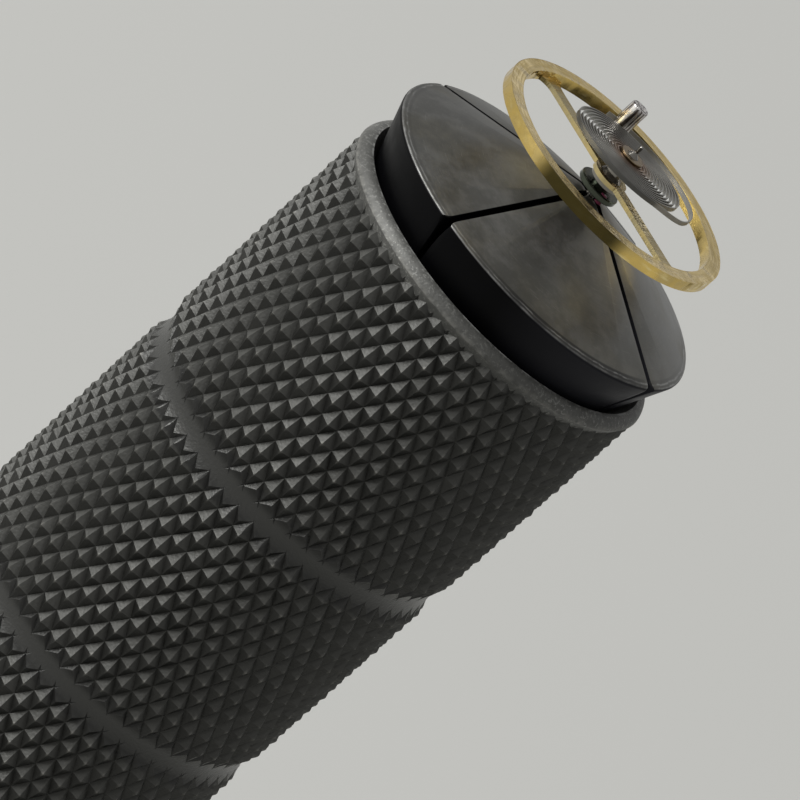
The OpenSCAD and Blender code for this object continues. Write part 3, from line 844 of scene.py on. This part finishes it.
# Balance staff: turned from hard steel and polished, with a hub under the wheel, a
# riveted seat above it and a fine pivot at each end.
staff_low, staff_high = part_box("balance_staff")
low_z = staff_low.z / MM
high_z = staff_high.z / MM
staff_edge = 0.02
pivot_r = 0.06
pivot_tip = 0.03
arbor_r = 0.2
arbor_z = tip_z - 0.55
pivot_cone = arbor_r - pivot_r
hub_r = 0.52
hub_z = wheel_z - 0.16
rivet_r = wheel_seat_r - fit_gap
rivet_lip = 0.1
shoulder_r = 0.3
spring_z = arm_z + 0.74
collet_h = 0.36
top_z = spring_z + collet_h / 2
shoulder_z = top_z - collet_h
balance_staff = turned("balance_staff_turned", [
    (0, low_z), (pivot_r - staff_edge, low_z), (pivot_r, low_z + pivot_tip),
    (pivot_r, arbor_z - pivot_cone), (arbor_r, arbor_z), (arbor_r, hub_z),
    (hub_r - staff_edge, hub_z), (hub_r, hub_z + staff_edge), (hub_r, wheel_z),
    (rivet_r, wheel_z), (rivet_r, arm_z), (shoulder_r + staff_edge, arm_z + rivet_lip),
    (shoulder_r, arm_z + rivet_lip + 0.04), (shoulder_r, shoulder_z - staff_edge),
    (shoulder_r - staff_edge, shoulder_z), (arbor_r, shoulder_z), (arbor_r, top_z),
    (pivot_r, top_z + pivot_cone), (pivot_r, high_z - pivot_tip),
    (pivot_r - staff_edge, high_z), (0, high_z)], steps=72)
staff_steel = turned_metal("staff_steel", (0.2, 0.19, 0.17), 0.2)
finish(balance_staff, staff_steel, "balance", "balance_staff")

# Roller table: a polished steel disc on the staff, with the safety roller below it,
# a pipe above it and a hole near its edge for the jewel.
safety_r = 0.33
safety_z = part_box("roller_table")[0].z / MM
roller_z = safety_z + 0.1
roller_r = 0.72
roller_top = roller_z + 0.2
roller_chamfer = 0.03
bore_r = 0.21
jewel_r = 0.12
jewel_offset = 0.52
jewel_turn = math.radians(-32)
jewel_x = jewel_offset * math.cos(jewel_turn)
jewel_y = jewel_offset * math.sin(jewel_turn)
roller_table = turned("roller_table_turned", [
    (bore_r, safety_z), (safety_r, safety_z), (safety_r, roller_z),
    (roller_r - roller_chamfer, roller_z), (roller_r, roller_z + roller_chamfer),
    (roller_r, roller_top - roller_chamfer), (roller_r - roller_chamfer, roller_top),
    (shoulder_r, roller_top), (shoulder_r, hub_z), (bore_r, hub_z)], steps=120)
combine(roller_table, "DIFFERENCE",
        round_bar("jewel_hole", jewel_r + fit_gap, (jewel_x, jewel_y, roller_z - cut),
                  (jewel_x, jewel_y, roller_z + cut)))
roller_steel = turned_metal("roller_steel", (0.06, 0.068, 0.052), 0.22, lines=12)
finish(roller_table, roller_steel, "balance", "roller_table")

# Impulse jewel: a short rod of synthetic ruby, ground and polished. It is cemented
# upright in the hole near the roller's edge.
jewel_low, jewel_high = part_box("impulse_jewel")
impulse_jewel = round_bar("impulse_jewel_rod", jewel_r,
                          (jewel_x, jewel_y, jewel_low.z / MM),
                          (jewel_x, jewel_y, jewel_high.z / MM))
ease(impulse_jewel, 0.015)
ruby, ruby_shader, ruby_place = new_finish("ruby")
ruby_cloud = noise(ruby_place, 4, 2)
connect(ruby_shader, Roughness=0.12, Metallic=0.0,
        Base_Color=mix_colours((0.12, 0.015, 0.045), (0.22, 0.05, 0.09), ruby_cloud))
finish(impulse_jewel, ruby, "balance", "impulse_jewel")

# Hairspring: a flat strip of grey spring steel coiled thirteen times, whose last turn
# widens to the stud. It hangs a little low on the stud's side.
spring_turns = 13
spring_r = 2.13
spring_sag = math.radians(5)
strip_t = 0.04
strip_h = 0.15
stud_r = 2.58
stud_turn = 133
stud_body_r = 0.31
# In degrees: how much of a turn the spring takes to widen, and how far short of the
# X axis its last full turn ends.
lead_angle = 35
lead_gap = 28
spring_collet_r = 0.42
coil_step = 4
coiled = 360 * spring_turns
at_stud = coiled + lead_gap + stud_turn + math.degrees(math.asin(2 * stud_body_r / stud_r))
coil_steps = math.ceil(at_stud / coil_step)
bpy.ops.object.select_all(action="DESELECT")
bpy.ops.mesh.primitive_circle_add(vertices=coil_steps + 1)
hairspring = bpy.context.object
hairspring.name = "hairspring_coil"
for step, corner in enumerate(hairspring.data.vertices):
    angle = at_stud * step / coil_steps
    widen = min(1, max(0, (angle - coiled) / lead_angle))
    radius = (spring_collet_r + (spring_r - spring_collet_r) * min(1, angle / coiled)
              + (stud_r - spring_r) * widen * widen * (3 - 2 * widen))
    turn = math.radians(angle - lead_gap - coiled)
    corner.co = (radius * math.cos(turn), radius * math.sin(turn), -strip_h / 2)
# The circle's closing edge goes, and what is left is drawn up to a strip.
start_edit(hairspring, "EDGE")
bpy.ops.mesh.select_all(action="DESELECT")
end_edit()
for edge in hairspring.data.edges:
    edge.select = abs(edge.vertices[0] - edge.vertices[1]) > 1
bpy.ops.object.mode_set(mode="EDIT")
bpy.ops.mesh.delete(type="EDGE")
bpy.ops.mesh.select_all(action="SELECT")
bpy.ops.mesh.extrude_region_move(TRANSFORM_OT_translate={"value": (0, 0, strip_h)})
end_edit()
modify(hairspring, "SOLIDIFY", thickness=strip_t, offset=0)
mend(hairspring)
to_stud = Matrix.Rotation(math.radians(stud_turn), 4, "Z")
hairspring.data.transform(Matrix.Translation((0, 0, spring_z)) @ to_stud
                          @ Matrix.Rotation(spring_sag, 4, "Y")
                          @ Matrix.Rotation(math.radians(-stud_turn), 4, "Z"))
spring_steel, spring_shader, spring_place = new_finish("spring_steel")
coil_radius = radius_of(spring_place)
coil_cloud = noise(spring_place, 1.2, 3)
coil_colour = mix_colours((0.22, 0.21, 0.19), (0.42, 0.41, 0.38), coil_cloud)
coil_colour = mix_colours((0.3, 0.22, 0.17), coil_colour, coil_radius.between(0.5, 1.1))
# Painted shade: the outermost full turn of the spring is coloured dark.
coil_colour = mix_colours(coil_colour, (0.12, 0.12, 0.115), coil_radius.band(spring_r, 0.07))
connect(spring_shader, Base_Color=coil_colour, Metallic=1.0, Roughness=coil_cloud * 0.15 + 0.3)
finish(hairspring, spring_steel, "balance", "hairspring", degrees=40)

# Hairspring collet: a split brass ring that grips the staff, and the brass pin that
# wedges the spring's inner end in it.
ring_edge = 0.02
split_w = 0.105
spring_pin_r = 0.05
pin_steps = 32
collet_pin_out = 0.31
collet_pin_half = 0.45
spring_collet = turned("hairspring_collet_split", [
    (bore_r, shoulder_z), (spring_collet_r - ring_edge, shoulder_z),
    (spring_collet_r, shoulder_z + ring_edge), (spring_collet_r, top_z - ring_edge),
    (spring_collet_r - ring_edge, top_z), (bore_r, top_z)], steps=96)
to_split = Matrix.Rotation(math.radians(112), 4, "Z")
split = block("split", (0, -split_w / 2, spring_z - cut),
              (cut, split_w / 2, spring_z + cut))
split.data.transform(to_split)
combine(spring_collet, "DIFFERENCE", split)
collet_pin_place = to_split @ Vector((-collet_pin_out, 0, spring_z))
collet_pin_line = to_split @ Vector((0, 1, 0))
combine(spring_collet, "DIFFERENCE",
        round_bar("pin_hole", spring_pin_r, collet_pin_place - collet_pin_line,
                  collet_pin_place + collet_pin_line, pin_steps))
dull_brass = turned_metal("dull_brass", (0.22, 0.165, 0.1), 0.26)
finish(spring_collet, dull_brass, "balance", "hairspring_collet")
collet_pin = round_bar("collet_pin_rod", spring_pin_r,
                       collet_pin_place - collet_pin_line * collet_pin_half,
                       collet_pin_place + collet_pin_line * collet_pin_half, pin_steps)
ease(collet_pin, 0.015)
finish(collet_pin, brass, "balance", "collet_pin")

# Hairspring stud: a short polished steel post with rounded ends, cross-drilled for
# the spring and the brass pin that holds it.
stud_low, stud_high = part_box("hairspring_stud")
stud_x, stud_y = (to_stud @ Vector((stud_r, 0, 0))).xy
hairspring_stud = round_bar("hairspring_stud_post", stud_body_r,
                            (stud_x, stud_y, stud_low.z / MM),
                            (stud_x, stud_y, stud_high.z / MM), steps=64)
ease(hairspring_stud, 0.06, segments=3)
stud_pin_z = spring_z - stud_r * math.sin(spring_sag)
stud_pin_out = 0.08
stud_pin_half = 0.4
stud_pin_place = to_stud @ Vector((stud_r + stud_pin_out, 0, stud_pin_z))
stud_pin_line = to_stud @ Vector((0, 1, 0))
combine(hairspring_stud, "DIFFERENCE",
        round_bar("pin_hole", spring_pin_r, stud_pin_place - stud_pin_line,
                  stud_pin_place + stud_pin_line, pin_steps))
stud_steel, stud_shader, stud_place = new_finish("stud_steel")
streaks = noise(stretched(stud_place, 11, 0.6), 1.0, 3, 0.6)
# The stud's colour has bright and dark streaks along it, painted reflections of a polished
# post; the same streaks also set its roughness and bumps.
connect(stud_shader, Metallic=1.0, Roughness=streaks * 0.15 + 0.12,
        Base_Color=mix_colours((0.1, 0.08, 0.07), (0.9, 0.87, 0.84),
                               streaks.between(0.4, 0.6)),
        Normal=bump(streaks, 0.03))
finish(hairspring_stud, stud_steel, "balance", "hairspring_stud")
stud_pin = round_bar("stud_pin_rod", spring_pin_r,
                     stud_pin_place - stud_pin_line * stud_pin_half,
                     stud_pin_place + stud_pin_line * stud_pin_half, pin_steps)
ease(stud_pin, 0.015)
finish(stud_pin, brass, "balance", "stud_pin")
